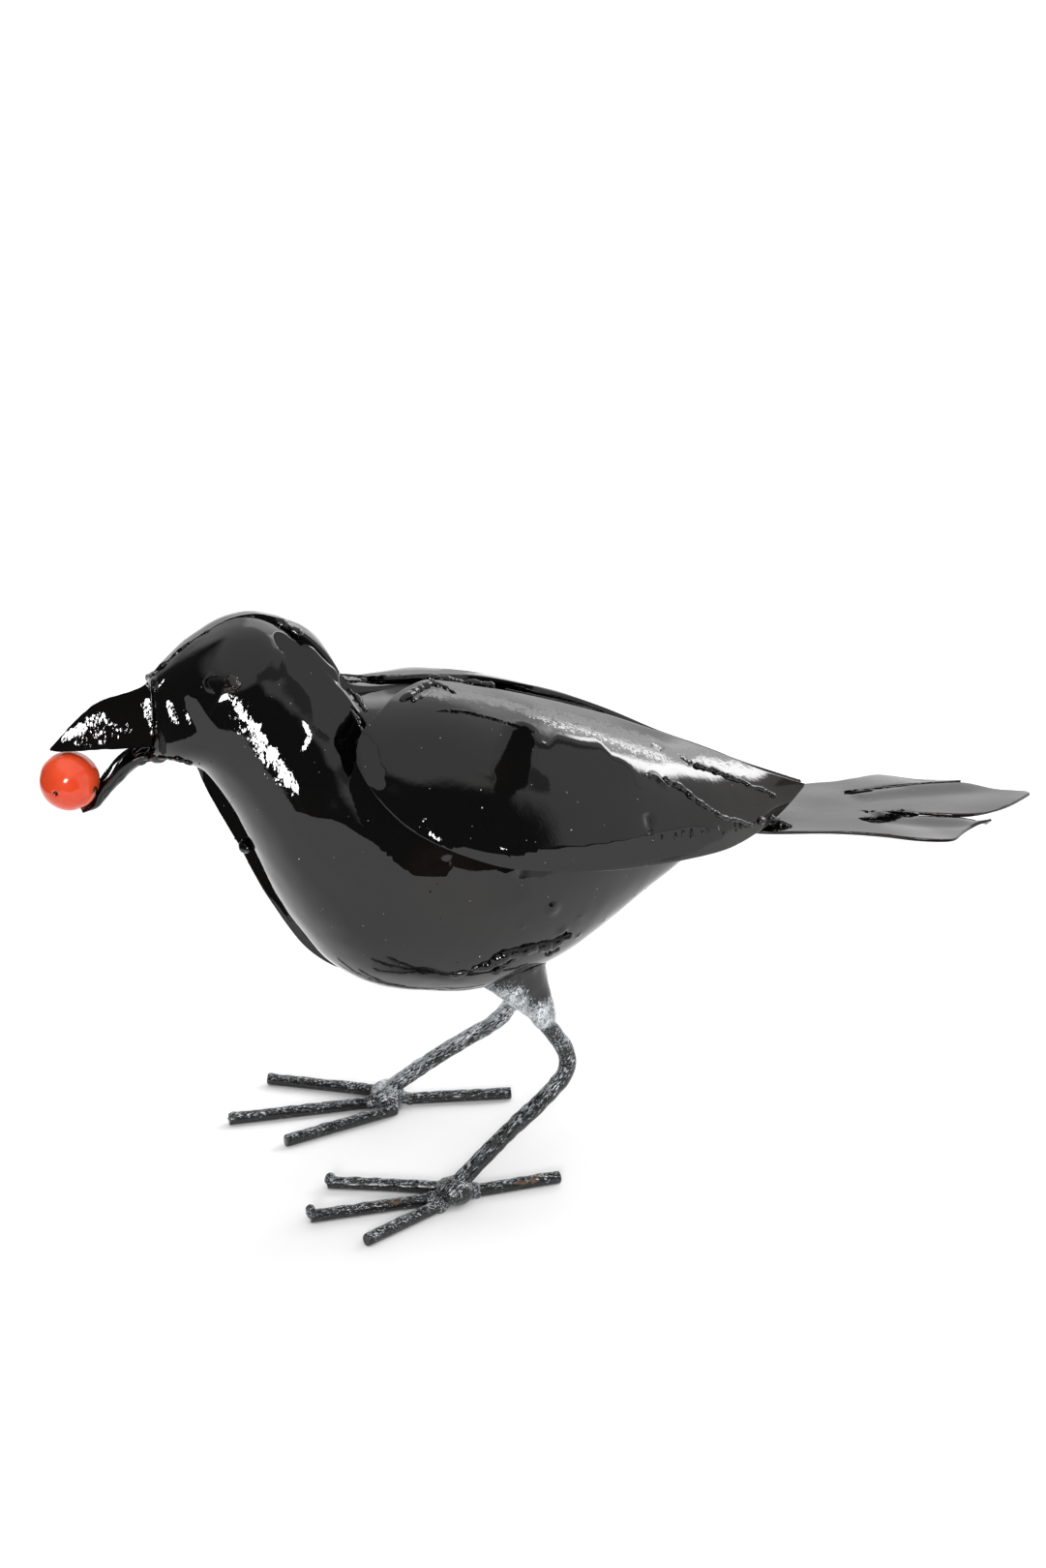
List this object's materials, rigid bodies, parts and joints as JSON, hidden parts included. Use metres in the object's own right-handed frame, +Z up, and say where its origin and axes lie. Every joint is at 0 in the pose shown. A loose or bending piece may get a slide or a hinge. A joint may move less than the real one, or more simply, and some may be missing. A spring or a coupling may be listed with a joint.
{
  "type": "metal bird sculpture",
  "caption": "Standing bird ornament of hammered and welded sheet steel in gloss black, on bent rod legs with splayed flat toes, holding a red ball in its open beak.",
  "frame": {"origin": "middle of the bounding box, on the surface that the toes stand on", "axes": "+X forward from tail to beak, +Y to the bird's left, +Z up"},
  "size_m": [0.325, 0.1162, 0.1872],
  "materials": {
    "black_enamel": "thick gloss black enamel over hammered sheet, with weld beads, spatter and pinholes",
    "brushed_black": "black with dry-brushed silver white and small rust patches",
    "red_gloss": "gloss orange red enamel with a small pit"
  },
  "bodies": {
    "root": {"body_left_shell": "black_enamel", "body_right_shell": "black_enamel", "beak_upper": "black_enamel", "beak_lower": "black_enamel", "berry": "red_gloss", "wing_left": "black_enamel", "wing_right": "black_enamel", "tail": "black_enamel", "thigh_left": "brushed_black", "thigh_right": "brushed_black", "leg_left": "brushed_black", "leg_right": "brushed_black", "toe_left_inner": "brushed_black", "toe_left_middle": "brushed_black", "toe_left_outer": "brushed_black", "toe_left_back": "brushed_black", "toe_right_inner": "brushed_black", "toe_right_middle": "brushed_black", "toe_right_outer": "brushed_black", "toe_right_back": "brushed_black", "eye_left": "black_enamel", "eye_right": "black_enamel"}
  },
  "joints": []
}
